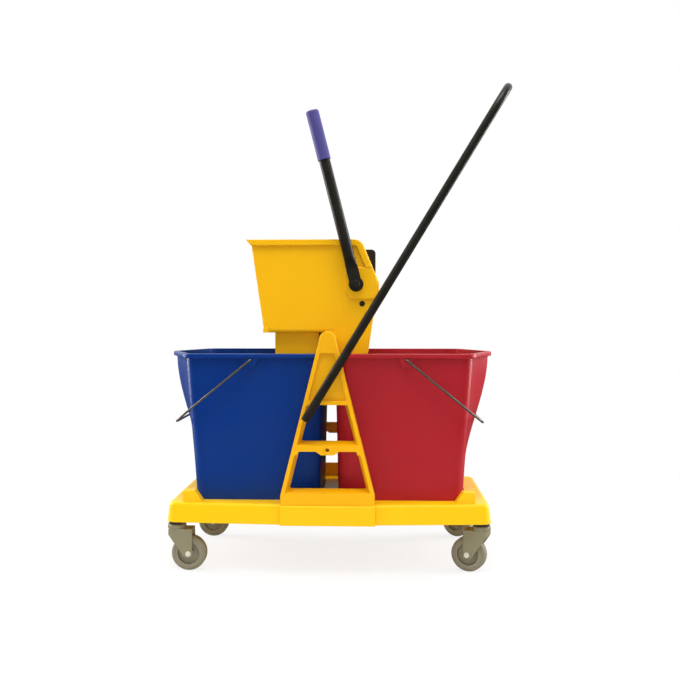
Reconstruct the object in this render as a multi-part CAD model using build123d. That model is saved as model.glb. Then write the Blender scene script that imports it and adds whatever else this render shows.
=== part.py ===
from build123d import *
import os
from math import acos, atan, atan2, cos, hypot, radians, sin, sqrt, tan

# Two-bucket mop trolley with a lever-press wringer, in millimetres.
# The origin lies on the floor under the middle of the base: +X runs to the red bucket's end,
# +Y to the far A-frame and +Z up.

# Fits and gaps
running_gap = 0.05
seat_gap = 1.5
body_gap = 0.4
screw_gap = 0.1
same_place = 0.01
cut_past = 20.0

# Casters
wheel_diameter = 75.0
tyre_width = 26.0
tyre_thickness = 9.0
tyre_shoulder = 6.0
core_hub_radius = 11.0
core_recess = 7.0
core_rim = 5.0
axle_diameter = 8.0
axle_head_diameter = 12.0
axle_head_height = 3.0
caster_trail = 27.0
fork_plate = 4.0
fork_side_gap = 1.6
fork_crown = 12.0
wheel_head_room = 4.0
fork_lead = 15.5
fork_toe = 8.5
fork_corner = 5.0
swivel_head_diameter = 40.0
swivel_head_height = 9.0
swivel_edge = 3.0
kingpin_diameter = 10.0
kingpin_head_diameter = 17.0
kingpin_head_height = 3.0
caster_plate_diameter = 36.0
caster_plate_height = 6.6
caster_stem_diameter = 12.0
caster_stem_length = 30.0
caster_end_inset = 20.0
caster_side_inset = 23.0
near_left_angle = 0.0
near_right_angle = 158.0
far_left_angle = 0.0
far_right_angle = 145.0

# Buckets
bucket_height = 327.0
bucket_wall = 3.5
bucket_floor_width = 272.0
bucket_floor_length = 268.5
bucket_floor_nose = 17.0
bucket_waist_rise = 157.0
bucket_waist_nose = 29.0
bucket_spout_rise = 267.0
bucket_spout_nose = 54.0
bucket_top_width = 306.0
bucket_top_length = 291.5
bucket_top_nose = 56.0
bucket_corner = 26.0
bucket_nose_round = 34.0
bucket_gap = 27.0
bucket_inner_lean = 7.0
rim_width = 8.0
rim_height = 10.0
rim_round = 2.5
ear_top_width = 38.0
ear_foot_width = 14.0
ear_height = 19.0
ear_thickness = 4.0

# Bails
bail_wire = 5.0
bail_slack = 11.0
bail_bend = 45.0
bail_eye_bend = 5.5
bail_pivot_drop = 13.0

# Base tray
base_side_height = 42.0
base_wall = 4.0
deck_drop = 8.0
deck_thickness = 5.0
end_width = 41.0
base_draft = 5.0
base_corner = 22.0
base_edge = 8.0
pad_length = 202.0
pad_margin = 4.0
pad_end_margin = 1.0
pad_edge = 3.0
waist_set_in = 10.0
end_set_in = 26.0
post_rise = 24.0
post_set_in = 29.5
post_length = 25.5
post_slope = 16.5
post_side_inset = 6.0
post_edge = 2.0
boss_diameter = 36.0
deck_rib = 3.0
deck_rib_depth = 14.0
deck_rib_pitch = 84.0
deck_rib_rows = 3
deck_rib_row_pitch = 92.0

# A-frames
frame_thickness = 30.0
frame_rim_gap = 9.0
frame_over_rim = 49.0
frame_top_radius = 17.0
frame_foot_rise = 20.0
frame_leg = 15.0
frame_foot_bar = 32.0
frame_lower_window = 82.5
frame_cross_bar = 19.5
frame_upper_window = 79.0
frame_panel_bar = 9.0
frame_panel_side = 9.0
frame_panel_top = 46.0
frame_panel_depth = 6.0
frame_window_corner = 3.0
frame_bevel = 6.5
frame_bevel_depth = 24.0
frame_edge = 2.0
frame_boss_top = 50.0
frame_boss_foot = 27.0
frame_boss_drop = 7.5
frame_hole_diameter = 8.0
frame_hole_drop = 16.0
frame_hole_depth = 22.0
frame_hole_ring = 16.0
frame_hole_ring_proud = 1.0
foot_screw_diameter = 6.0
foot_screw_head = 12.0
foot_screw_head_height = 4.0
foot_screw_depth = 18.0
foot_screw_spacing = 150.0

# Wringer hanger
peg_diameter = 14.0
peg_drop = 24.0
peg_depth = 20.0
hook_width = 32.0
hook_under_peg = 18.0
hook_reach = 20.0
hook_root_depth = 24.0
hook_root_left = 8.0

# Wringer hopper
hopper_wall = 4.0
hopper_width = 256.0
hopper_height = 222.0
hopper_ledge = 20.0
hopper_top_left = 171.0
hopper_ledge_left = 141.5
hood_crest = 70.0
hood_round = 22.0
hood_back = 12.0
hood_reach = 109.0
hood_knee = 128.0
hood_knee_height = 17.0
hood_waist = 97.0
hood_waist_rise = 57.0
hood_foot = 85.0
hood_toe = 75.0
hood_corner = 12.0
hopper_edge = 3.0
top_band = 13.0
top_band_proud = 6.0
lip_flare = 10.0
band_set_in = 2.0
ledge_bead = 10.0
ledge_bead_proud = 2.0
ledge_round = 8.0
neck_left = 119.0
neck_width = 220.0
neck_dip = 30.0
neck_ledge = 6.0
rim_bridge = 5.0
bridge_side = 6.0
toe_dip = 12.0
cheek_proud = 5.0
cheek_left = 24.0
cheek_rise = 36.0
cheek_fall = 32.0
cheek_corner = 10.0
grid_thickness = 4.0
grid_hole = 9.0
grid_pitch = 14.0
grid_gap = 0.4

# Press
pivot_right = 59.0
pivot_over_peg = 125.0
shaft_diameter = 16.0
shaft_stub_diameter = 11.0
bush_wall = 3.0
bush_flange = 5.0
bush_flange_height = 1.5
press_sweep_gap = 3.0
press_plate_thickness = 8.0
press_plate_rise = 22.0
press_plate_side_gap = 6.0
press_rib = 4.0
press_rib_count = 7
press_set_left = 7.0
arm_hub_radius = 14.0
arm_thickness = 12.0
arm_spacing = 140.0
stop_pin_diameter = 8.0
stop_pin_right = 13.0
stop_pin_drop = 42.0
stop_pin_head = 12.0
stop_pin_head_height = 2.5

# Wringer lever and far crank
lever_tube = 24.0
lever_bore = 20.0
lever_length = 382.0
lever_lean = 14.3
lever_foot_width = 26.0
lever_foot_thickness = 9.0
lever_foot_length = 34.0
lever_neck_length = 26.0
lever_neck_step = 0.1
lever_side_gap = 2.0
grip_diameter = 28.0
grip_length = 108.0
grip_cap = 3.0
grip_edge = 4.0
lever_bolt_head = 17.0
lever_bolt_height = 5.0
crank_hub = 15.0
crank_right = 42.5
crank_elbow = 36.0
crank_rise = 94.0
crank_head = 30.0
crank_corner = 10.0
crank_thickness = 10.0

# Push handle
handle_tube = 18.0
handle_bore = 15.0
handle_lean = 31.3
handle_foot_left = 45.8
handle_foot_drop = 186.0
handle_top_height = 1034.0
handle_bend = 70.0
handle_screw_diameter = 5.0
handle_screw_head = 10.0
handle_screw_head_height = 4.0
handle_lower_screw = 4.0
handle_upper_screw = 118.0
plug_lip = 2.0
plug_depth = 14.0

# Heights that follow from the stack of casters, base, buckets, frames and wringer
crown_low = wheel_diameter + wheel_head_room
head_low = crown_low + fork_crown
head_high = head_low + swivel_head_height
stem_plate_low = head_high + body_gap
caster_height = stem_plate_low + caster_plate_height
base_bottom = caster_height
base_rim = base_bottom + base_side_height
deck_top = base_rim - deck_drop
deck_under = deck_top - deck_thickness
flange_under = base_rim - deck_thickness
bucket_rim = deck_top + bucket_height
frame_top = bucket_rim + frame_over_rim
frame_height = frame_top - base_rim
peg_height = frame_top - peg_drop
pivot_height = peg_height + pivot_over_peg

# Widths that follow from the buckets outwards
bucket_rim_half = bucket_top_width / 2 + rim_width
frame_inner = bucket_rim_half + frame_rim_gap
frame_outer = frame_inner + frame_thickness
pad_half = frame_outer + pad_margin
waist_half = pad_half - waist_set_in
end_half = pad_half - end_set_in
frame_foot_half = pad_length / 2 - pad_end_margin
post_end = end_half - base_draft - post_side_inset
post_start = bucket_floor_width / 2 + 3 * seat_gap

# Lengths that follow from the buckets outwards
floor_inner = bucket_gap / 2 + bucket_inner_lean
floor_corner = floor_inner + bucket_floor_length
floor_nose = floor_corner + bucket_floor_nose
top_inner = bucket_gap / 2
top_corner = top_inner + bucket_top_length
base_half = floor_nose + seat_gap + end_width
caster_x = base_half - caster_end_inset
caster_y = end_half - caster_side_inset
bail_pivot_x = (top_inner + top_corner) / 2 + rim_width
bail_pivot_z = bucket_rim - bail_pivot_drop

nodes = {}


def keep(name, shape):
    nodes[name] = shape


def rounded(points, radii):
    """A flat face inside a polygon, with each corner rounded by its own radius."""
    face = make_face(Polyline(*points, close=True))
    for point, radius in zip(points, radii):
        if radius:
            corner = face.vertices().sort_by_distance((point[0], point[1], 0))[0]
            face = fillet(corner, radius)
    return face


def slab(face, low, high):
    """A face drawn in X and Z, made solid from Y low to Y high."""
    return Pos(0, high, 0) * extrude(Plane.XZ * face, high - low)


def rod(x, z, radius, low, high):
    """A round bar along Y."""
    return slab(Pos(x, z) * Circle(radius), low, high)


def post(x, y, radius, low, high):
    """A round bar along Z."""
    return Pos(x, y, low) * extrude(Circle(radius), high - low)


def both_sides(shape):
    return shape + mirror(shape, Plane.XZ)


def edges_at(shape, axis, value):
    return shape.edges().filter_by_position(axis, value - same_place, value + same_place)


def block(x_low, x_high, y_low, y_high, z_low, z_high):
    middle = ((x_low + x_high) / 2, (y_low + y_high) / 2, (z_low + z_high) / 2)
    return Pos(*middle) * Box(x_high - x_low, y_high - y_low, z_high - z_low)


# Base tray: a drafted shell, open below, with two bucket wells, corner posts and caster bosses.
def tray_plan(inset):
    length = base_half - inset
    ends = end_half - inset
    waist = waist_half - inset
    bend = pad_length / 2
    corners = [(-length, -ends), (-bend, -waist), (bend, -waist), (length, -ends)]
    corners += [(length, ends), (bend, waist), (-bend, waist), (-length, ends)]
    round_end = base_corner - inset
    return rounded(corners, [round_end, 0, 0, round_end, round_end, 0, 0, round_end])


def post_outline(low):
    """The side view of a corner post, from the height low to its top."""
    outer = base_half - base_draft - post_set_in
    inner = outer - post_length
    toe = inner - post_slope
    top = base_rim + post_rise
    points = [(toe, low), (outer, low), (outer, top), (inner, top), (toe, base_rim)]
    return make_face(Polyline(*points, close=True))


def four_corners(shape):
    shape = both_sides(shape)
    return shape + mirror(shape, Plane.YZ)


def corner_posts():
    """Guide posts on the tray, beside the outer corners of the buckets."""
    guide = slab(post_outline(flange_under), -post_end, -post_start)
    return four_corners(fillet(edges_at(guide, Axis.Y, -post_end), post_edge))


def post_pockets():
    """The hollows inside the corner posts."""
    pocket = offset(post_outline(flange_under - base_wall), -base_wall, kind=Kind.INTERSECTION)
    return four_corners(slab(pocket, -post_end + base_wall, -post_start - base_wall))


def deck_ribs():
    """Crossing ribs under the deck."""
    low = deck_under - deck_rib_depth
    half = deck_rib / 2
    ribs = Part()
    across = int(base_half / deck_rib_pitch)
    for step in range(-across, across + 1):
        x = step * deck_rib_pitch
        ribs += block(x - half, x + half, -pad_half, pad_half, low, deck_under)
    for row in range(deck_rib_rows):
        y = (row - (deck_rib_rows - 1) / 2) * deck_rib_row_pitch
        ribs += block(-base_half, base_half, y - half, y + half, low, deck_under)
    return ribs


def make_base_tray():
    shell_foot = Pos(0, 0, base_bottom) * tray_plan(0)
    shell_head = Pos(0, 0, base_rim) * tray_plan(base_draft)
    shell = loft([shell_foot, shell_head], ruled=True)
    shell = fillet(edges_at(shell, Axis.Z, base_rim), base_edge)
    pad = block(-pad_length / 2, pad_length / 2, -pad_half, pad_half, base_bottom, base_rim)
    shell += fillet(edges_at(pad, Axis.Z, base_rim).filter_by(Axis.X), pad_edge)
    outside = shell + corner_posts()
    hollow_plan = Pos(0, 0, base_bottom) * tray_plan(base_wall + base_draft)
    hollow = extrude(hollow_plan, flange_under - base_bottom)
    well_shell = bucket_tub(seat_gap + base_wall, deck_under)
    hollow -= well_shell
    hollow -= mirror(well_shell, Plane.YZ)
    tray = outside - hollow - post_pockets()
    tray += deck_ribs() & hollow
    for x, y in caster_places():
        tray += post(x, y, boss_diameter / 2, base_bottom, base_rim) & outside
    bar_half = pad_length / 2
    foot_bar = block(-bar_half, bar_half, frame_inner, pad_half - base_wall, base_bottom, base_rim)
    tray += both_sides(foot_bar) & outside
    well = bucket_tub(seat_gap, deck_top)
    tray -= well
    tray -= mirror(well, Plane.YZ)
    stem_end = base_bottom + caster_stem_length + seat_gap
    for x, y in caster_places():
        tray -= post(x, y, caster_stem_diameter / 2, base_bottom, stem_end)
    tray -= foot_screws(screw_gap)
    return tray


def caster_places():
    return [(x, y) for y in (-caster_y, caster_y) for x in (-caster_x, caster_x)]


# A-frames: flat moulded side frames with a recessed head panel and two windows.
def frame_half_at(height):
    """Half width of the A-frame's outline at a height over its foot."""
    run = frame_height - frame_top_radius - frame_foot_rise
    share = (height - frame_foot_rise) / run
    return frame_foot_half + (frame_top_radius - frame_foot_half) * max(0.0, share)


def frame_window(low, high, corner, side):
    """A trapezium between the legs, from height low to height high over the foot."""
    foot = frame_half_at(low) - side
    head = frame_half_at(high) - side
    points = [(-foot, low), (foot, low), (head, high), (-head, high)]
    return rounded(points, [corner] * 4)


def window_bevel(low, high):
    """The sloped border along the foot and sides of a window, cut into the front face."""
    throat = frame_window(low, high, frame_window_corner, frame_leg)
    mouth = frame_window(low - frame_bevel, high, frame_window_corner, frame_leg - frame_bevel)
    throat = Pos(0, frame_bevel_depth - frame_outer, base_rim) * (Plane.XZ * throat)
    mouth = Pos(0, -frame_outer, base_rim) * (Plane.XZ * mouth)
    return loft([mouth, throat], ruled=True)


def make_front_frame():
    shoulder = frame_height - frame_top_radius
    points = [(-frame_foot_half, 0), (frame_foot_half, 0), (frame_foot_half, frame_foot_rise)]
    points += [(frame_top_radius, shoulder), (-frame_top_radius, shoulder)]
    points += [(-frame_foot_half, frame_foot_rise)]
    outline = make_face(Polyline(*points, close=True))
    outline += Pos(0, shoulder) * Circle(frame_top_radius)
    frame = slab(Pos(0, base_rim) * outline, -frame_outer, -frame_inner)
    front = edges_at(frame, Axis.Y, -frame_outer)
    frame = fillet(front.filter_by(lambda edge: edge.center().Z > base_rim + same_place), frame_edge)
    lower_head = frame_foot_bar + frame_lower_window
    upper_foot = lower_head + frame_cross_bar
    upper_head = upper_foot + frame_upper_window
    hole_height = upper_foot - frame_hole_drop
    boss_points = [(-frame_boss_top / 2, lower_head), (-frame_boss_foot / 2, lower_head - frame_boss_drop)]
    boss_points += [(frame_boss_foot / 2, lower_head - frame_boss_drop), (frame_boss_top / 2, lower_head)]
    openings = frame_window(frame_foot_bar, lower_head, frame_window_corner, frame_leg)
    openings -= make_face(Polyline(*boss_points, close=True))
    openings += frame_window(upper_foot, upper_head, frame_window_corner, frame_leg)
    frame -= slab(Pos(0, base_rim) * openings, -frame_outer, -frame_inner)
    frame -= window_bevel(frame_foot_bar, lower_head - frame_boss_drop)
    frame -= window_bevel(upper_foot, upper_head)
    hole_mouth = -frame_outer - frame_hole_ring_proud
    frame += rod(0, base_rim + hole_height, frame_hole_ring / 2, hole_mouth, -frame_outer + frame_edge)
    hole_end = -frame_outer + frame_hole_depth
    frame -= rod(0, base_rim + hole_height, frame_hole_diameter / 2, hole_mouth, hole_end)
    panel_foot = upper_head + frame_panel_bar
    panel_head = frame_height - frame_panel_top
    panel = frame_window(panel_foot, panel_head, frame_window_corner, frame_panel_side)
    panel_back = -frame_outer + frame_panel_depth
    frame -= slab(Pos(0, base_rim) * panel, -frame_outer - cut_past, panel_back)
    frame -= rod(0, peg_height, peg_diameter / 2, -frame_inner - peg_depth, -frame_inner)
    frame -= handle_screws(screw_gap)
    frame -= foot_screws(screw_gap)
    return frame


def foot_screws(gap):
    """Screws driven up through the pads into the A-frame feet, with a gap round them for their holes."""
    screws = Part()
    line = (frame_inner + frame_outer) / 2
    for x in (-foot_screw_spacing / 2, foot_screw_spacing / 2):
        for y in (-line, line):
            low = base_bottom + seat_gap
            screws += post(x, y, foot_screw_diameter / 2 + gap, low, base_rim + foot_screw_depth + gap)
            screws += post(x, y, foot_screw_head / 2 + gap, base_bottom, low + foot_screw_head_height)
    return screws


# Buckets: drafted tubs whose outer end bows out to a pouring nose.
def bucket_corner_at(rise):
    """X of the outer corner line at a height over the floor of the bucket."""
    return floor_corner + (top_corner - floor_corner) * rise / bucket_height


def bucket_section(rise, nose, grow):
    share = rise / bucket_height
    inner = floor_inner + (top_inner - floor_inner) * share
    half = (bucket_floor_width + (bucket_top_width - bucket_floor_width) * share) / 2
    corner = bucket_corner_at(rise)
    points = [(inner, -half), (corner, -half), (corner + nose, 0), (corner, half), (inner, half)]
    radii = [bucket_corner, bucket_corner, bucket_nose_round, bucket_corner, bucket_corner]
    return offset(rounded(points, radii), grow)


def bucket_tub(grow, low):
    """The tub's solid outline, grown or shrunk all round, standing on the height low."""
    noses = [(bucket_waist_rise, bucket_waist_nose), (bucket_spout_rise, bucket_spout_nose)]
    noses += [(bucket_height, bucket_top_nose)]
    sections = [Pos(0, 0, low) * bucket_section(0, bucket_floor_nose, grow)]
    sections += [Pos(0, 0, deck_top + rise) * bucket_section(rise, nose, grow) for rise, nose in noses]
    return loft(sections)


def make_red_bucket():
    tub = bucket_tub(0, deck_top)
    lip = bucket_section(bucket_height, bucket_top_nose, rim_width)
    rim = extrude(Pos(0, 0, bucket_rim - rim_height) * lip, rim_height)
    rim_edges = edges_at(rim, Axis.Z, bucket_rim) + edges_at(rim, Axis.Z, bucket_rim - rim_height)
    tub += fillet(rim_edges, rim_round)
    ear_top = bucket_rim - rim_height + rim_round
    ear_foot = ear_top - ear_height - rim_round
    ear_points = [(-ear_top_width / 2, ear_top), (-ear_foot_width / 2, ear_foot)]
    ear_points += [(ear_foot_width / 2, ear_foot), (ear_top_width / 2, ear_top)]
    ear = Pos(bail_pivot_x, 0) * rounded(ear_points, [0, rim_round, rim_round, 0])
    ear -= Pos(bail_pivot_x, bail_pivot_z) * Circle(bail_wire / 2 + running_gap)
    ear_face = -bucket_rim_half + rim_round
    tub += both_sides(slab(ear, ear_face, ear_face + ear_thickness))
    return tub - bucket_tub(-bucket_wall, deck_top + bucket_wall)


def make_red_bail():
    """A bent wire whose eyes turn in the ears and whose far run lies on the nose of the bucket."""
    waist = bucket_corner_at(bucket_waist_rise) + bucket_waist_nose
    spout = bucket_corner_at(bucket_spout_rise) + bucket_spout_nose
    lean = (spout - waist) / (bucket_spout_rise - bucket_waist_rise)
    nose = waist + lean * (bail_pivot_z - deck_top - bucket_waist_rise)
    reach = nose + bail_wire / 2 + body_gap - bail_pivot_x
    arm = reach + bail_slack
    angle = atan(lean) + acos(reach / (arm * sqrt(1 + lean**2)))
    run_x = bail_pivot_x + arm * cos(angle)
    run_z = bail_pivot_z - arm * sin(angle)
    arm_y = bucket_rim_half + body_gap + bail_wire / 2
    eye_y = bucket_top_width / 2 + seat_gap
    path_points = [(bail_pivot_x, -eye_y, bail_pivot_z), (bail_pivot_x, -arm_y, bail_pivot_z)]
    path_points += [(run_x, -arm_y, run_z), (run_x, arm_y, run_z)]
    path_points += [(bail_pivot_x, arm_y, bail_pivot_z), (bail_pivot_x, eye_y, bail_pivot_z)]
    path = FilletPolyline(*path_points, radius=[bail_eye_bend, bail_bend, bail_bend, bail_eye_bend])
    section = Plane(origin=path @ 0, z_dir=path % 0) * Circle(bail_wire / 2)
    return sweep(section, path=path)


# Wringer hopper: a wide-mouthed box with a hooded mechanism side and a drain neck in the blue bucket.
bridge_right = bucket_gap / 2 + bucket_wall + bridge_side


def hopper_outline():
    top = peg_height + hopper_height
    ledge = peg_height + hopper_ledge
    bridge = bucket_rim + rim_bridge
    toe = bucket_rim - toe_dip
    knee = peg_height + hood_knee
    points = [(-hopper_top_left, top), (hood_crest, top)]
    points += [(hood_reach, knee), (hood_reach, knee - hood_knee_height)]
    points += [(hood_waist, peg_height + hood_waist_rise), (hood_foot, bucket_rim), (hood_toe, toe)]
    points += [(bridge_right, toe), (bridge_right, bridge), (hood_back, bridge)]
    points += [(hood_back, ledge), (-hopper_ledge_left, ledge)]
    return points


def ledge_rounding():
    """What the rounded lower edge leaves out of the hopper's near wall."""
    low = peg_height + hopper_ledge
    face = -hopper_width / 2
    middle = (-hopper_top_left, face + ledge_round, low + ledge_round)
    length = hopper_top_left + hood_back
    corner = block(-hopper_top_left, hood_back, face, face + ledge_round, low, low + ledge_round)
    return corner - Pos(*middle) * Rot(0, 90, 0) * extrude(Circle(ledge_round), length)


def make_hopper():
    top = peg_height + hopper_height
    ledge = peg_height + hopper_ledge
    half = hopper_width / 2
    points = hopper_outline()
    radii = [0, hood_round, hood_corner / 2, hood_corner / 2, hood_corner, hood_corner, hopper_edge]
    radii += [0, 0, 0, 0, hopper_edge]
    profile = rounded(points, radii)
    body = slab(profile, -half, half)
    sides = edges_at(body, Axis.Y, -half) + edges_at(body, Axis.Y, half)
    body = fillet(sides.filter_by(lambda edge: edge.center().Z > ledge + hopper_edge), hopper_edge)
    neck_bottom = bucket_rim - neck_dip
    neck_right = -bridge_right
    neck_half = neck_width / 2
    body += block(-neck_left, neck_right, -neck_half, neck_half, neck_bottom, ledge + hopper_wall)
    body -= both_sides(ledge_rounding())
    bead_left = hopper_ledge_left + ledge_bead_proud
    bead_right = hopper_ledge_left - ledge_bead
    bead_half = half + ledge_bead_proud
    body += block(-bead_left, -bead_right, -bead_half, bead_half, ledge, ledge + ledge_bead)
    slope = atan2(hood_reach - hood_crest, hopper_height - hood_knee)
    crest = hood_crest - band_set_in
    band_low = pivot_height + cheek_rise
    band_foot = crest + (top - band_low) * tan(slope)
    band_across = top_band / cos(slope)
    inner_crest = crest + top_band * tan(slope) - band_across
    band_points = [(-hopper_top_left - lip_flare, top), (crest, top), (band_foot, band_low)]
    band_points += [(band_foot - band_across, band_low), (inner_crest, top - top_band)]
    band_points += [(-hopper_top_left + band_set_in, top - top_band)]
    band = rounded(band_points, [0, hood_round, 0, 0, hood_round - top_band, 0])
    band_half = half + top_band_proud
    band = slab(band, -band_half, band_half)
    rim_line = edges_at(band, Axis.Y, -band_half) + edges_at(band, Axis.Y, band_half)
    rim_line = rim_line.filter_by(lambda edge: edge.center().Z < top - same_place)
    body += fillet(rim_line, hopper_edge / 2)
    cheek_right = hood_reach - hopper_edge
    cheek_top = pivot_height + cheek_rise
    cheek_low = pivot_height - cheek_fall
    cheek_back = pivot_right - cheek_left
    cheek_points = [(cheek_back, cheek_top), (cheek_right - hood_corner, cheek_top)]
    cheek_points += [(cheek_right, peg_height + hood_knee), (cheek_right - 2 * hopper_edge, cheek_low)]
    cheek_points += [(pivot_right - cheek_left / 2, cheek_low), (cheek_back, pivot_height - cheek_fall / 2)]
    cheek_rounds = [cheek_corner, cheek_corner / 2, hopper_edge, hopper_edge, cheek_corner, cheek_corner]
    cheek = rounded(cheek_points, cheek_rounds)
    cheek_face = half + cheek_proud
    cheek = slab(cheek, -cheek_face, -half + hopper_wall)
    body += both_sides(fillet(edges_at(cheek, Axis.Y, -cheek_face), hopper_edge / 2))
    hook_low = peg_height - hook_under_peg
    hook_high = ledge + hopper_wall
    hook_end = -half - hook_reach
    hook_root = -half + hook_root_depth
    hook = block(-hook_width / 2, hook_width / 2, hook_end, -half, hook_low, peg_height)
    hook += rod(0, peg_height, hook_width / 2, hook_end, -half)
    slot_half = peg_diameter / 2 + body_gap
    hook -= rod(0, peg_height, slot_half, hook_end, -half)
    hook -= block(-slot_half, slot_half, hook_end, -half, hook_low, peg_height)
    hook += block(-hook_root_left, hook_width / 2, -half, hook_root, hook_low, hook_high)
    body += both_sides(hook)
    cavity = offset(make_face(Polyline(*points, close=True)), -hopper_wall, kind=Kind.INTERSECTION)
    crest_corner = cavity.vertices().sort_by_distance((hood_crest, top, 0))[0]
    cavity = fillet(crest_corner, hood_round - hopper_wall)
    inside = half - hopper_wall
    body -= slab(cavity, -inside, inside)
    mouth_right = hood_crest - hood_round
    mouth_left = -hopper_top_left + hopper_wall
    body -= block(mouth_left, mouth_right, -inside, inside, top - 2 * hopper_wall, top)
    drain = neck_half - hopper_wall
    drain_left = -neck_left + hopper_wall
    drain_right = neck_right - hopper_wall
    drain_foot = neck_bottom + neck_ledge
    body -= block(drain_left, drain_right, -drain, drain, drain_foot, ledge + 2 * hopper_wall)
    outlet = drain - neck_ledge
    out_left = drain_left + neck_ledge
    out_right = drain_right - neck_ledge
    body -= block(out_left, out_right, -outlet, outlet, neck_bottom, ledge)
    bush_bore = shaft_diameter / 2 + running_gap + bush_wall
    body -= rod(pivot_right, pivot_height, bush_bore, -half - cut_past, half + cut_past)
    body -= rod(stop_pin_x, stop_pin_z, stop_pin_diameter / 2, -half - cut_past, half + cut_past)
    return body


def make_drain_grid():
    """A perforated plate on the ledge of the neck."""
    left = -neck_left + hopper_wall + grid_gap
    right = -bridge_right - hopper_wall - grid_gap
    half = neck_width / 2 - hopper_wall - grid_gap
    low = bucket_rim - neck_dip + neck_ledge
    plate = block(left, right, -half, half, low, low + grid_thickness)
    margin = neck_ledge + grid_hole
    columns = int((right - left - 2 * margin) / grid_pitch) + 1
    rows = int((2 * half - 2 * margin) / grid_pitch) + 1
    holes = GridLocations(grid_pitch, grid_pitch, columns, rows)
    face = Sketch() + [place * Circle(grid_hole / 2) for place in holes]
    cut = extrude(face, 2 * grid_thickness, both=True)
    return plate - Pos((left + right) / 2, 0, low) * cut


# Press: shaft, bushes, arms, plate, stop pin.
stop_pin_x = pivot_right + stop_pin_right
stop_pin_z = pivot_height - stop_pin_drop
cheek_out = hopper_width / 2 + cheek_proud
lever_plane = hopper_width / 2 + top_band_proud + lever_side_gap + lever_tube / 2
shaft_half = lever_plane - lever_foot_thickness / 2
stub_half = lever_plane + lever_foot_thickness / 2
step_right = pivot_right - hood_back - hopper_wall
step_drop = pivot_over_peg - hopper_ledge - hopper_wall
press_sweep = hypot(step_right, step_drop) - press_sweep_gap
press_reach = sqrt(press_sweep**2 - (press_set_left + press_plate_thickness) ** 2)


def make_press_shaft():
    shaft = rod(pivot_right, pivot_height, shaft_diameter / 2, -shaft_half, shaft_half)
    return shaft + rod(pivot_right, pivot_height, shaft_stub_diameter / 2, -stub_half, stub_half)


def make_shaft_bushes():
    bore = shaft_diameter / 2 + running_gap
    outer = bore + bush_wall
    bush = rod(pivot_right, pivot_height, outer, -cheek_out, -hopper_width / 2 + hopper_wall)
    bush += rod(pivot_right, pivot_height, outer + bush_flange, -cheek_out - bush_flange_height, -cheek_out)
    bush -= rod(pivot_right, pivot_height, bore, -cheek_out - cut_past, 0)
    return both_sides(bush)


def make_press_arms():
    face_x = pivot_right - press_set_left
    back_x = stop_pin_x - stop_pin_diameter / 2 - body_gap
    low = pivot_height - press_reach + press_plate_thickness
    points = [(face_x, low), (back_x - press_plate_thickness, low), (back_x, stop_pin_z)]
    points += [(back_x, pivot_height), (face_x, pivot_height)]
    outline = make_face(Polyline(*points, close=True))
    outline += Pos(pivot_right, pivot_height) * Circle(arm_hub_radius)
    outline -= Pos(pivot_right, pivot_height) * Circle(shaft_diameter / 2)
    middle = arm_spacing / 2
    return both_sides(slab(outline, -middle - arm_thickness / 2, -middle + arm_thickness / 2))


def make_press_plate():
    """A ribbed plate on the front of the arms; it swings into the hopper and squeezes the mop."""
    half = hopper_width / 2 - hopper_wall - press_plate_side_gap
    back = pivot_right - press_set_left
    front = back - press_plate_thickness
    low = pivot_height - press_reach
    high = pivot_height - press_plate_rise
    plate = block(front, back, -half, half, low, high)
    plate = fillet(edges_at(plate, Axis.X, front).filter_by(Axis.Y), press_plate_thickness / 3)
    pitch = 2 * half / (press_rib_count + 1)
    for rib in range(press_rib_count):
        side = -half + pitch * (rib + 1) - press_rib / 2
        rib_low = low + 2 * press_rib
        rib_high = high - 2 * press_rib
        plate += block(front - press_rib, front, side, side + press_rib, rib_low, rib_high)
    return plate


def make_stop_pin():
    outside = hopper_width / 2
    pin = rod(stop_pin_x, stop_pin_z, stop_pin_diameter / 2, -outside, outside)
    head_face = -outside - stop_pin_head_height
    head = rod(stop_pin_x, stop_pin_z, stop_pin_head / 2, head_face, -outside)
    return pin + both_sides(fillet(edges_at(head, Axis.Y, head_face), stop_pin_head_height / 2))


# Lever: a tube flattened at its foot, leaning over the hopper, with a grip pushed on its end.
def lever_place(shape):
    """Stands a shape drawn upright from the pivot at the lever's lean and plane."""
    return Pos(pivot_right, -lever_plane, pivot_height) * Rot(0, -lever_lean, 0) * shape


def make_lever():
    foot_half = lever_foot_thickness / 2
    foot_face = SlotCenterToCenter(lever_foot_length, lever_foot_width, rotation=90)
    foot = Pos(0, 0, lever_foot_length / 2) * slab(foot_face, -foot_half, foot_half)
    neck_end = lever_foot_length + lever_neck_length
    flat_width = lever_foot_width - lever_neck_step
    flat_thickness = lever_foot_thickness - lever_neck_step
    flat = RectangleRounded(flat_width, flat_thickness, foot_half - 2 * lever_neck_step)
    flat = Pos(0, 0, lever_foot_length) * flat
    neck = loft([flat, Pos(0, 0, neck_end) * Circle(lever_tube / 2)])
    tube_end = lever_length - grip_cap
    tube_ring = Circle(lever_tube / 2) - Circle(lever_bore / 2)
    tube = Pos(0, 0, neck_end) * extrude(tube_ring, tube_end - neck_end)
    lever = foot + neck + tube
    lever -= rod(0, 0, shaft_stub_diameter / 2, -lever_foot_thickness, lever_foot_thickness)
    return lever_place(lever)


def make_grip():
    grip = Pos(0, 0, lever_length - grip_length) * extrude(Circle(grip_diameter / 2), grip_length)
    grip = fillet(edges_at(grip, Axis.Z, lever_length), grip_edge)
    bore = Pos(0, 0, lever_length - grip_length) * extrude(Circle(lever_tube / 2), grip_length - grip_cap)
    return lever_place(grip - bore)


def make_lever_bolt():
    low = -stub_half - lever_bolt_height
    head = rod(pivot_right, pivot_height, lever_bolt_head / 2, low, -stub_half)
    return fillet(edges_at(head, Axis.Y, low), lever_bolt_height / 3)


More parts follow.
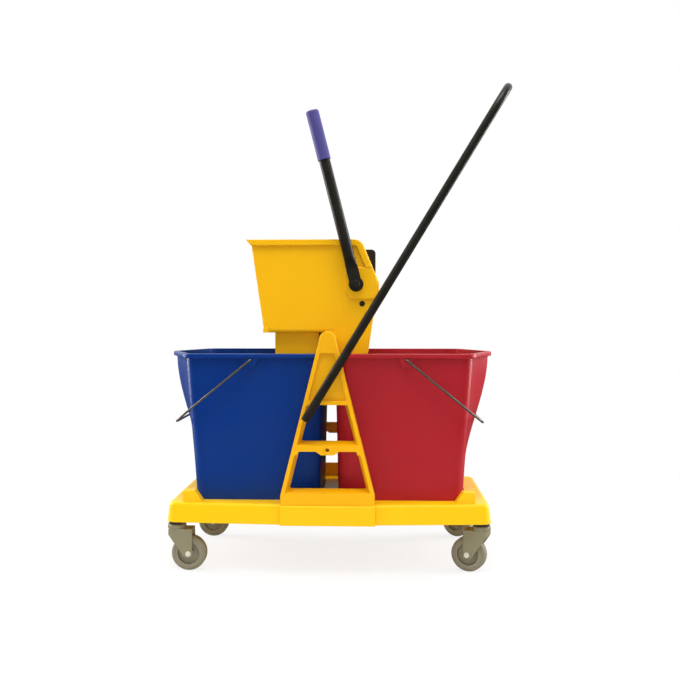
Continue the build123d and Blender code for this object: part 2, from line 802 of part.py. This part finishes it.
def make_far_crank():
    points = [(-crank_hub, 0), (crank_hub, 0), (crank_right, crank_elbow), (crank_right, crank_rise)]
    points += [(crank_right - crank_head, crank_rise)]
    face = rounded(points, [0, 0, crank_corner, crank_corner, crank_corner]) + Circle(crank_hub)
    crank = Pos(pivot_right, 0, pivot_height) * slab(face, shaft_half, shaft_half + crank_thickness)
    return crank - rod(pivot_right, pivot_height, shaft_stub_diameter / 2, 0, shaft_half + cut_past)


# Push handle: one bent tube screwed to both A-frames, with plugs in its open ends.
handle_plane = frame_outer + handle_tube / 2
handle_foot_z = frame_top - handle_foot_drop
handle_run = (handle_top_height - handle_foot_z) / cos(radians(handle_lean))


def handle_point(along):
    """X and Z of the handle's middle line at a distance from its foot."""
    lean = radians(handle_lean)
    return (-handle_foot_left + along * sin(lean), handle_foot_z + along * cos(lean))


def make_push_handle():
    foot = handle_point(0)
    head = handle_point(handle_run)
    points = [(foot[0], -handle_plane, foot[1]), (head[0], -handle_plane, head[1])]
    points += [(head[0], handle_plane, head[1]), (foot[0], handle_plane, foot[1])]
    path = FilletPolyline(*points, radius=handle_bend)
    section = Circle(handle_tube / 2) - Circle(handle_bore / 2)
    tube = sweep(Plane(origin=path @ 0, z_dir=path % 0) * section, path=path)
    return tube - handle_screws(screw_gap)


def handle_screws(gap):
    """Screws through the A-frame from inside into the tube, with a gap round them for their holes."""
    screws = Part()
    for along in (handle_lower_screw, handle_upper_screw):
        x, z = handle_point(along)
        screw = rod(x, z, handle_screw_diameter / 2 + gap, -handle_plane, -frame_inner)
        screw += rod(x, z, handle_screw_head / 2, -frame_inner, -frame_inner + handle_screw_head_height)
        screws += both_sides(screw)
    return screws


def make_handle_plugs():
    plug = extrude(Circle(handle_tube / 2), -plug_lip)
    plug = fillet(edges_at(plug, Axis.Z, -plug_lip), plug_lip / 2)
    plug += extrude(Circle(handle_bore / 2), plug_depth)
    lip_x, lip_z = handle_point(0)
    plug = Pos(lip_x, -handle_plane, lip_z) * Rot(0, handle_lean, 0) * plug
    return both_sides(plug - handle_screws(screw_gap))


def make_hanger_pegs():
    reach = hopper_width / 2 + top_band_proud
    return both_sides(rod(0, peg_height, peg_diameter / 2, -frame_inner - peg_depth, -reach))


# Casters, drawn with the swivel axis at the origin and the wheel trailing along +X.
wheel_radius = wheel_diameter / 2
fork_inner = tyre_width / 2 + fork_side_gap
fork_outer = fork_inner + fork_plate


def make_caster_stem():
    """The fixed half: top plate and stem in the base, kingpin through the swivel head."""
    stem = post(0, 0, caster_plate_diameter / 2, stem_plate_low, caster_height)
    stem += post(0, 0, caster_stem_diameter / 2, caster_height, caster_height + caster_stem_length)
    pin_end = crown_low - body_gap
    stem += post(0, 0, kingpin_diameter / 2, pin_end, stem_plate_low)
    stem += post(0, 0, kingpin_head_diameter / 2, pin_end - kingpin_head_height, pin_end)
    return stem


def make_fork():
    axle_z = wheel_radius
    outline = [(-fork_lead, head_low), (-fork_lead, crown_low), (caster_trail - fork_toe, axle_z - fork_toe)]
    outline += [(caster_trail + fork_toe, axle_z - fork_toe), (caster_trail + fork_toe, head_low)]
    plate = rounded(outline, [0, fork_corner, fork_corner, fork_corner, 0])
    plate -= Pos(caster_trail, axle_z) * Circle(axle_diameter / 2)
    fork = both_sides(slab(plate, -fork_outer, -fork_inner))
    fork += block(-fork_lead, caster_trail + fork_toe, -fork_outer, fork_outer, crown_low, head_low)
    head = post(0, 0, swivel_head_diameter / 2, head_low, head_high)
    fork += fillet(edges_at(head, Axis.Z, head_high), swivel_edge)
    return fork - post(0, 0, kingpin_diameter / 2 + running_gap, 0, caster_height)


def make_axle():
    bolt = rod(caster_trail, wheel_radius, axle_diameter / 2, -fork_outer, fork_outer)
    head_face = -fork_outer - axle_head_height
    head = rod(caster_trail, wheel_radius, axle_head_diameter / 2, head_face, -fork_outer)
    return bolt + both_sides(fillet(edges_at(head, Axis.Y, head_face), axle_head_height / 2))


def make_wheel_core():
    core_radius = wheel_radius - tyre_thickness
    half = tyre_width / 2
    core = rod(0, 0, core_radius, -half, half)
    dish = rod(0, 0, core_radius - core_rim, -half, -half + core_recess)
    dish -= rod(0, 0, core_hub_radius, -half, -half + core_recess)
    core -= both_sides(dish)
    core -= rod(0, 0, axle_diameter / 2 + running_gap, -half, half)
    return Pos(caster_trail, 0, wheel_radius) * core


def make_tyre():
    half = tyre_width / 2
    tyre = rod(0, 0, wheel_radius, -half, half)
    tyre = fillet(edges_at(tyre, Axis.Y, -half) + edges_at(tyre, Axis.Y, half), tyre_shoulder)
    tyre -= rod(0, 0, wheel_radius - tyre_thickness, -half, half)
    return Pos(caster_trail, 0, wheel_radius) * tyre


# Assembly
keep("base_tray", make_base_tray())
front_frame = make_front_frame()
keep("a_frame_front", front_frame)
keep("a_frame_back", mirror(front_frame, Plane.XZ))
keep("a_frame_screws", foot_screws(0))
red_bucket = make_red_bucket()
keep("red_bucket", red_bucket)
keep("blue_bucket", mirror(red_bucket, Plane.YZ))
red_bail = make_red_bail()
keep("red_bail", red_bail)
keep("blue_bail", mirror(red_bail, Plane.YZ))
keep("wringer_hopper", make_hopper())
keep("drain_grid", make_drain_grid())
keep("shaft_bushes", make_shaft_bushes())
keep("stop_pin", make_stop_pin())
keep("press_shaft", make_press_shaft())
keep("press_arms", make_press_arms())
keep("press_plate", make_press_plate())
keep("wringer_lever", make_lever())
keep("lever_grip", make_grip())
keep("lever_bolt", make_lever_bolt())
keep("far_crank", make_far_crank())
keep("hanger_pegs", make_hanger_pegs())
keep("push_handle", make_push_handle())
keep("handle_plugs", make_handle_plugs())
keep("handle_screws", handle_screws(0))
caster_parts = {
    "caster_stem": make_caster_stem(),
    "caster_fork": make_fork(),
    "caster_axle": make_axle(),
    "wheel_core": make_wheel_core(),
    "tyre": make_tyre(),
}
caster_turns = {
    "near_left": (-caster_x, -caster_y, near_left_angle),
    "near_right": (caster_x, -caster_y, near_right_angle),
    "far_left": (-caster_x, caster_y, far_left_angle),
    "far_right": (caster_x, caster_y, far_right_angle),
}
for corner, (x, y, turn) in caster_turns.items():
    for part_name, shape in caster_parts.items():
        keep(part_name + "_" + corner, Pos(x, y, 0) * Rot(0, 0, turn) * shape)

os.makedirs("parts", exist_ok=True)
for name, shape in nodes.items():
    export_step(shape, "parts/" + name + ".step")
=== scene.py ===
import math

import bpy
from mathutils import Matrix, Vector

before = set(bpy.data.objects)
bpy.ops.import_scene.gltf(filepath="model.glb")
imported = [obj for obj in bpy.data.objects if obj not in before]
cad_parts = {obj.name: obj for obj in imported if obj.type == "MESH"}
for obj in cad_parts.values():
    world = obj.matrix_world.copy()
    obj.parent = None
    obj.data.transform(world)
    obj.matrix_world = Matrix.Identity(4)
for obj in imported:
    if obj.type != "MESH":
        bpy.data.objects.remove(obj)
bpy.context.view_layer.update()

# Base tray: the long yellow tray that carries both buckets.
# One polypropylene moulding, open below, with a guide post at each corner and a pad for each A-frame.
# The tray's yellow is the same pigment as the frames' and hopper's yellow, painted lighter as painted light
# for the brighter light on the tray.
TRAY_YELLOW_PAINTED_LIGHT = (0.955, 0.560, 0.0006)
TRAY_YELLOW_WORN_PAINTED_LIGHT = (0.920, 0.515, 0.0012)
TRAY_ROUGH = 0.40


def lay(mix, kind, *plugs, **settings):
    """Puts a node in a finish: plugs fill its sockets in order, settings a socket or an option by name."""
    node = mix.nodes.new("ShaderNode" + kind)
    filled = []
    for key, value in settings.items():
        socket = node.inputs.get(key.replace("_", " "))
        if socket is None:
            setattr(node, key, value)
        else:
            filled.append((socket, value))
    filled += zip(node.inputs, plugs)
    for socket, value in filled:
        if isinstance(value, bpy.types.NodeSocket):
            mix.links.new(value, socket)
        else:
            socket.default_value = value
    return node


def pattern(mix, where, per_metre, detail, harsh=0.5):
    """A cloudy pattern with about so many patches to the metre."""
    noise = lay(mix, "TexNoise", Vector=where, Scale=per_metre, Detail=detail, Roughness=harsh)
    return noise.outputs["Fac"]


def ramp(mix, value, starts, ends, least=0.0, most=1.0):
    """Spreads a value's stretch from starts to ends over least to most."""
    spread = lay(mix, "MapRange", Value=value, From_Min=starts, From_Max=ends, To_Min=least, To_Max=most)
    return spread.outputs["Result"]


def work_out(mix, operation, *values):
    """Does a sum on values in a finish."""
    return lay(mix, "Math", *values, operation=operation).outputs["Value"]


def blend(mix, share, under, over):
    """Lays one colour over another by its share."""
    colours = [c if isinstance(c, bpy.types.NodeSocket) else (*c, 1) for c in (under, over)]
    return lay(mix, "MixRGB", share, *colours).outputs["Color"]


def new_finish(name):
    """An empty finish: its node tree, its shader and where a point lies on the trolley, in metres."""
    finish = bpy.data.materials.new(name)
    finish.use_nodes = True
    mix = finish.node_tree
    where = lay(mix, "TexCoord").outputs["Object"]
    return finish, mix, mix.nodes["Principled BSDF"], where


def edge_line(mix, radius):
    """Rounded edges, and a mask that is 1 along them."""
    edge_starts, edge_full = 0.985, 0.86
    soft = lay(mix, "Bevel", samples=6, Radius=radius).outputs["Normal"]
    flat = lay(mix, "NewGeometry").outputs["Normal"]
    turn = lay(mix, "VectorMath", soft, flat, operation="DOT_PRODUCT").outputs["Value"]
    return soft, ramp(mix, turn, edge_starts, edge_full)


def fill_shader(mix, shader, colour, gloss, skin):
    """Plugs a finish's colour, gloss and skin into its shader."""
    mix.links.new(colour, shader.inputs["Base Color"])
    mix.links.new(gloss, shader.inputs["Roughness"])
    mix.links.new(skin.outputs["Normal"], shader.inputs["Normal"])


def moulded_plastic(name, colour, worn, rough, grain=0.12):
    """Moulded polypropylene: clouded pigment, a fine skin grain, faint scuffs, and edges painted lighter,
    partly as rubbed wear and partly as a painted highlight.
    """
    edge_radius, edge_share = 0.0016, 0.16
    rub_and_highlight_gain, rub_and_highlight_lift = 1.12, 0.05
    grain_depth, scuff_dulls = 0.0003, 0.12
    scuff_stretch, scuff_turn = (34.0, 34.0, 210.0), (0.5, 0.35, 0.2)
    finish, mix, shader, where = new_finish(name)
    soft, edges = edge_line(mix, edge_radius)
    clouds = pattern(mix, where, per_metre=4.5, detail=5.0, harsh=0.62)
    tint = blend(mix, ramp(mix, clouds, starts=0.35, ends=0.75, most=0.55), colour, worn)
    # Edges are painted lighter: partly rubbed wear, partly a painted highlight along them.
    rubbed = [min(1.0, c * rub_and_highlight_gain + rub_and_highlight_lift) for c in colour]
    tint = blend(mix, work_out(mix, "MULTIPLY", edges, edge_share), tint, rubbed)
    along = lay(mix, "Mapping", Vector=where, Scale=scuff_stretch, Rotation=scuff_turn).outputs["Vector"]
    scuffs = ramp(mix, pattern(mix, along, per_metre=1.0, detail=2.0), starts=0.66, ends=0.82)
    patches = pattern(mix, where, per_metre=18.0, detail=4.0)
    gloss = ramp(mix, patches, starts=0.3, ends=0.7, least=rough - 0.05, most=rough + 0.06)
    gloss = work_out(mix, "MULTIPLY_ADD", scuffs, scuff_dulls, gloss)
    fine = pattern(mix, where, per_metre=620.0, detail=2.0)
    skin = lay(mix, "Bump", Strength=grain, Distance=grain_depth, Height=fine, Normal=soft)
    fill_shader(mix, shader, tint, gloss, skin)
    shader.inputs["IOR"].default_value = 1.49
    shader.inputs["Specular IOR Level"].default_value = 0.25
    return finish


def dress(finish, *nodes):
    """Gives CAD pieces their finish."""
    for name in nodes:
        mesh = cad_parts[name].data
        mesh.materials.clear()
        mesh.materials.append(finish)


dress(moulded_plastic("tray_yellow_painted_light", TRAY_YELLOW_PAINTED_LIGHT, TRAY_YELLOW_WORN_PAINTED_LIGHT, TRAY_ROUGH), "base_tray")

# A-frames: two flat yellow side frames that stand on the tray's pads and carry the wringer and the handle.
# Polypropylene mouldings, each held by two screws from below.
FRAME_YELLOW = (0.940, 0.465, 0.0006)
FRAME_YELLOW_WORN = (0.900, 0.420, 0.0012)
FRAME_ROUGH = 0.38
frame_finish = moulded_plastic("frame_yellow", FRAME_YELLOW, FRAME_YELLOW_WORN, FRAME_ROUGH)
dress(frame_finish, "a_frame_front", "a_frame_back")

# Buckets: two drafted tubs with a pouring nose, one blue and one red.
# Polypropylene mouldings with a turned-out rim; they stand loose in the tray.
BLUE = (0.0003, 0.0332, 0.2300)
BLUE_WORN = (0.0010, 0.0360, 0.2100)
RED = (0.430, 0.0145, 0.0235)
RED_WORN = (0.385, 0.0155, 0.0205)
BUCKET_ROUGH = 0.34
dress(moulded_plastic("bucket_blue", BLUE, BLUE_WORN, BUCKET_ROUGH), "blue_bucket")
dress(moulded_plastic("bucket_red", RED, RED_WORN, BUCKET_ROUGH), "red_bucket")

# Bails: the carrying wires of the buckets.
# Hard-drawn steel wire, dark from its oil finish, sprung into the ears of the rim.
WIRE = (0.150, 0.138, 0.120)
WIRE_BRIGHT = (0.300, 0.280, 0.250)
WIRE_ROUGH = 0.36
WIRE_MARKS = 160.0
WIRE_BARE = 0.6


def drawn_metal(name, colour, bright, rough, marks_per_metre, bare=1.0):
    """Drawn or plated metal: fine marks, tarnish and brighter edges; bare is 0 under a dull film."""
    edge_radius = 0.0006
    mark_strength, mark_depth = 0.15, 0.0001
    finish, mix, shader, where = new_finish(name)
    soft, edges = edge_line(mix, edge_radius)
    marks = pattern(mix, where, marks_per_metre, detail=6.0, harsh=0.7)
    rubbed = work_out(mix, "MAXIMUM", ramp(mix, marks, starts=0.42, ends=0.78, most=0.6), edges)
    gloss = ramp(mix, marks, starts=0.3, ends=0.7, least=rough - 0.08, most=rough + 0.08)
    fine = pattern(mix, where, per_metre=1400.0, detail=2.0)
    skin = lay(mix, "Bump", Strength=mark_strength, Distance=mark_depth, Height=fine, Normal=soft)
    fill_shader(mix, shader, blend(mix, rubbed, colour, bright), gloss, skin)
    shader.inputs["Metallic"].default_value = bare
    return finish


wire_finish = drawn_metal("bail_wire", WIRE, WIRE_BRIGHT, WIRE_ROUGH, WIRE_MARKS, WIRE_BARE)
dress(wire_finish, "red_bail", "blue_bail")

# Wringer hopper: the wide-mouthed box that the mop goes into, with its drain grid and press plate.
# Polypropylene mouldings; the hopper hangs on two pegs between the A-frames.
HOPPER_YELLOW = (0.955, 0.505, 0.0006)
HOPPER_YELLOW_WORN = (0.920, 0.460, 0.0012)
HOPPER_ROUGH = 0.42
hopper_finish = moulded_plastic("hopper_yellow", HOPPER_YELLOW, HOPPER_YELLOW_WORN, HOPPER_ROUGH)
dress(hopper_finish, "wringer_hopper", "drain_grid", "press_plate")

# Press shaft, hanger pegs and screws: the turned and headed metal parts.
# Zinc-plated steel, pressed or screwed in.
ZINC = (0.56, 0.56, 0.54)
ZINC_BRIGHT = (0.78, 0.78, 0.76)
ZINC_ROUGH = 0.32
ZINC_MARKS = 220.0
zinc_finish = drawn_metal("zinc_steel", ZINC, ZINC_BRIGHT, ZINC_ROUGH, ZINC_MARKS)
dress(zinc_finish, "press_shaft", "hanger_pegs", "a_frame_screws", "handle_screws")

# Press arms, bushes, far crank, handle plugs: small black mouldings.
# Glass-filled nylon, matt, keyed or pressed on.
NYLON = (0.0140, 0.0126, 0.0100)
NYLON_WORN = (0.028, 0.026, 0.021)
NYLON_ROUGH = 0.46
nylon_finish = moulded_plastic("black_nylon", NYLON, NYLON_WORN, NYLON_ROUGH)
dress(nylon_finish, "press_arms", "shaft_bushes", "far_crank", "handle_plugs")

# Wringer lever and push handle: bent and flattened steel tubes, with the lever's bolt and the stop pin.
# Steel under a black powder coat with a soft orange-peel skin, bolted or screwed on.
COAT = (0.0150, 0.0130, 0.0098)
COAT_DUST = (0.032, 0.029, 0.023)
COAT_RUBBED = (0.09, 0.087, 0.08)
COAT_ROUGH = 0.32


def powder_coat(name, colour, dust, rubbed, rough):
    """Powder coat: orange-peel skin, a film of dust and rubbed edges."""
    edge_radius, edge_share = 0.0010, 0.35
    peel_strength, peel_depth = 0.045, 0.0003
    finish, mix, shader, where = new_finish(name)
    soft, edges = edge_line(mix, edge_radius)
    film = pattern(mix, where, per_metre=9.0, detail=6.0, harsh=0.65)
    tint = blend(mix, ramp(mix, film, starts=0.42, ends=0.80, most=0.8), colour, dust)
    tint = blend(mix, work_out(mix, "MULTIPLY", edges, edge_share), tint, rubbed)
    peel = pattern(mix, where, per_metre=380.0, detail=3.0)
    gloss = ramp(mix, peel, starts=0.3, ends=0.7, least=rough - 0.04, most=rough + 0.08)
    skin = lay(mix, "Bump", Strength=peel_strength, Distance=peel_depth, Height=peel, Normal=soft)
    fill_shader(mix, shader, tint, gloss, skin)
    shader.inputs["Specular IOR Level"].default_value = 0.2
    return finish


coat_finish = powder_coat("black_coat", COAT, COAT_DUST, COAT_RUBBED, COAT_ROUGH)
dress(coat_finish, "wringer_lever", "push_handle", "lever_bolt", "stop_pin")

# Lever grip: the violet hand grip on the lever's end.
# Dipped soft vinyl, a little matt, with a faint skin.
VIOLET = (0.078, 0.067, 0.250)
VIOLET_WORN = (0.088, 0.077, 0.262)
VIOLET_ROUGH = 0.50
VIOLET_GRAIN = 0.25
dress(moulded_plastic("violet_vinyl", VIOLET, VIOLET_WORN, VIOLET_ROUGH, VIOLET_GRAIN), "lever_grip")

# Casters: four swivel casters with stems pressed into the tray's corners.
# Warm-grey nylon forks and wheel centres, thermoplastic rubber tyres, plated steel stems and axles.
FORK_GREY = (0.260, 0.232, 0.140)
FORK_GREY_WORN = (0.235, 0.209, 0.126)
FORK_ROUGH = 0.42
HUB_GREY = (0.270, 0.244, 0.168)
HUB_ROUGH = 0.48
TYRE_GREY = (0.245, 0.216, 0.143)
TYRE_GREY_WORN = (0.202, 0.176, 0.116)
TYRE_ROUGH = 0.60
TYRE_GRAIN = 0.35
DULL_ZINC = (0.80, 0.75, 0.60)
DULL_ZINC_BRIGHT = (0.90, 0.86, 0.72)
AXLE_ROUGH = 0.40
AXLE_BARE = 0.25
fork_finish = moulded_plastic("fork_grey", FORK_GREY, FORK_GREY_WORN, FORK_ROUGH)
hub_finish = moulded_plastic("wheel_grey", HUB_GREY, FORK_GREY_WORN, HUB_ROUGH)
tyre_finish = moulded_plastic("tyre_grey", TYRE_GREY, TYRE_GREY_WORN, TYRE_ROUGH, TYRE_GRAIN)
axle_finish = drawn_metal("dull_zinc", DULL_ZINC, DULL_ZINC_BRIGHT, AXLE_ROUGH, ZINC_MARKS, AXLE_BARE)
for corner in ("near_left", "near_right", "far_left", "far_right"):
    dress(zinc_finish, "caster_stem_" + corner)
    dress(axle_finish, "caster_axle_" + corner)
    dress(fork_finish, "caster_fork_" + corner)
    dress(hub_finish, "wheel_core_" + corner)
    dress(tyre_finish, "tyre_" + corner)

# Floor: a plain pale studio floor under the wheels.
# Matt paper that fades into the white surround, nearly dark in reflections to keep the buckets' colour.
FLOOR_REACH = 14.0
FLOOR_LIFT = 0.80
MIRRORED_FLOOR = 0.04
PAPER_DARK, PAPER_PALE = 0.83, 0.87
FADE_STARTS, FADE_ENDS = 0.75, 1.7
floor_mesh = bpy.data.meshes.new("studio_floor")
corners = [(-FLOOR_REACH, -FLOOR_REACH, 0), (FLOOR_REACH, -FLOOR_REACH, 0)]
corners += [(FLOOR_REACH, FLOOR_REACH, 0), (-FLOOR_REACH, FLOOR_REACH, 0)]
floor_mesh.from_pydata(corners, [], [(0, 1, 2, 3)])
floor = bpy.data.objects.new("studio_floor", floor_mesh)
bpy.context.scene.collection.objects.link(floor)


def looked_at(mix, plain, direct, mirrored):
    """A level for plain light, for what the camera sees directly, and for what it sees in a reflection."""
    path = lay(mix, "LightPath").outputs
    level = ramp(mix, path["Is Camera Ray"], 0.0, 1.0, least=plain, most=direct)
    shine = work_out(mix, "SUBTRACT", mirrored, plain)
    return work_out(mix, "MULTIPLY_ADD", path["Is Glossy Ray"], shine, level)


paper = bpy.data.materials.new("floor_paper")
paper.use_nodes = True
mix = paper.node_tree
mix.nodes.clear()
where = lay(mix, "TexCoord").outputs["Object"]
away = lay(mix, "VectorMath", where, operation="LENGTH").outputs["Value"]
fade = lay(mix, "MapRange", away, FADE_STARTS, FADE_ENDS, interpolation_type="SMOOTHSTEP").outputs["Result"]
fibres = lay(mix, "TexNoise", Scale=60.0, Detail=3.0).outputs["Fac"]
matt = lay(mix, "BsdfDiffuse", Color=ramp(mix, fibres, 0.0, 1.0, PAPER_DARK, PAPER_PALE)).outputs["BSDF"]
white = lay(mix, "Emission", Strength=looked_at(mix, 0.0, 1.0, MIRRORED_FLOOR)).outputs["Emission"]
lift = lay(mix, "MixShader", looked_at(mix, 0.0, FLOOR_LIFT, 1.0), matt, white).outputs["Shader"]
both = lay(mix, "MixShader", fade, lift, white).outputs["Shader"]
lay(mix, "OutputMaterial", Surface=both)
floor_mesh.materials.append(paper)

# Studio light: a white surround at a plain level, a soft box overhead, a box at each side of the camera,
# a tall strip behind each end, and a weak fill at the camera that reaches into the gap of the buckets.
SURROUND = 0.50
MIRRORED_FRONT, MIRRORED_BACK = 0.03, 0.90
SHEEN_STARTS, SHEEN_ENDS = -0.1, 0.4
MIDDLE = (0, 0, 0.50)
LOW_MIDDLE = (0, 0, 0.40)
SIDE_BOX = (0.9, 1.3)
STRIP = (0.7, 1.5)
OVER_BOX = (1.6, 1.2)
FILL_BOX = (0.7, 0.7)
world = bpy.data.worlds.new("studio")
bpy.context.scene.world = world
world.use_nodes = True
mix = world.node_tree
depth = lay(mix, "SeparateXYZ", lay(mix, "TexCoord").outputs["Generated"]).outputs["Y"]
sheen = ramp(mix, depth, SHEEN_STARTS, SHEEN_ENDS, least=MIRRORED_FRONT, most=MIRRORED_BACK)
mix.links.new(looked_at(mix, SURROUND, 1.0, sheen), mix.nodes["Background"].inputs["Strength"])
mix.nodes["Background"].inputs["Color"].default_value = (1, 1, 1, 1)


def soft_box(name, place, aim, size, watts):
    """A soft box that stands at a place and faces its aim."""
    light = bpy.data.lights.new(name, "AREA")
    light.shape = "RECTANGLE"
    light.size, light.size_y = size
    light.energy = watts
    lamp = bpy.data.objects.new(name, light)
    bpy.context.scene.collection.objects.link(lamp)
    lamp.location = place
    lamp.rotation_euler = (Vector(aim) - Vector(place)).to_track_quat("-Z", "Y").to_euler()
    return lamp


soft_box("box_left", place=(-1.9, -1.4, 1.9), aim=MIDDLE, size=SIDE_BOX, watts=8)
soft_box("box_right", place=(1.9, -1.4, 1.9), aim=MIDDLE, size=SIDE_BOX, watts=5)
soft_box("strip_left", place=(-1.9, 0.5, 0.80), aim=(-0.2, 0, 0.35), size=STRIP, watts=36)
soft_box("strip_right", place=(1.9, 0.5, 0.80), aim=(0.2, 0, 0.35), size=STRIP, watts=36)
soft_box("box_over", place=(0.1, -0.8, 2.7), aim=LOW_MIDDLE, size=OVER_BOX, watts=48)
fill = soft_box("box_front", place=(0.1, -2.5, 0.40), aim=LOW_MIDDLE, size=FILL_BOX, watts=8)
fill.visible_glossy = False

# Camera: straight on to the long side, a little right of the middle and a little above the bucket rims.
# A normal lens about 2.1 m away, tipped down by less than two degrees.
# Lens and sensor are in millimetres, yaw and pitch in degrees.
EYE = (0.098, -2.135, 0.5527)
LENS = 48.93
SENSOR = 36
YAW = 2.111
PITCH = 1.590
eye = bpy.data.objects.new("camera", bpy.data.cameras.new("camera"))
bpy.context.scene.collection.objects.link(eye)
eye.data.lens = LENS
eye.data.sensor_width = SENSOR
eye.location = EYE
eye.rotation_euler = (math.radians(90 - PITCH), 0, math.radians(YAW))
bpy.context.scene.camera = eye
bpy.context.scene.view_settings.view_transform = "Standard"
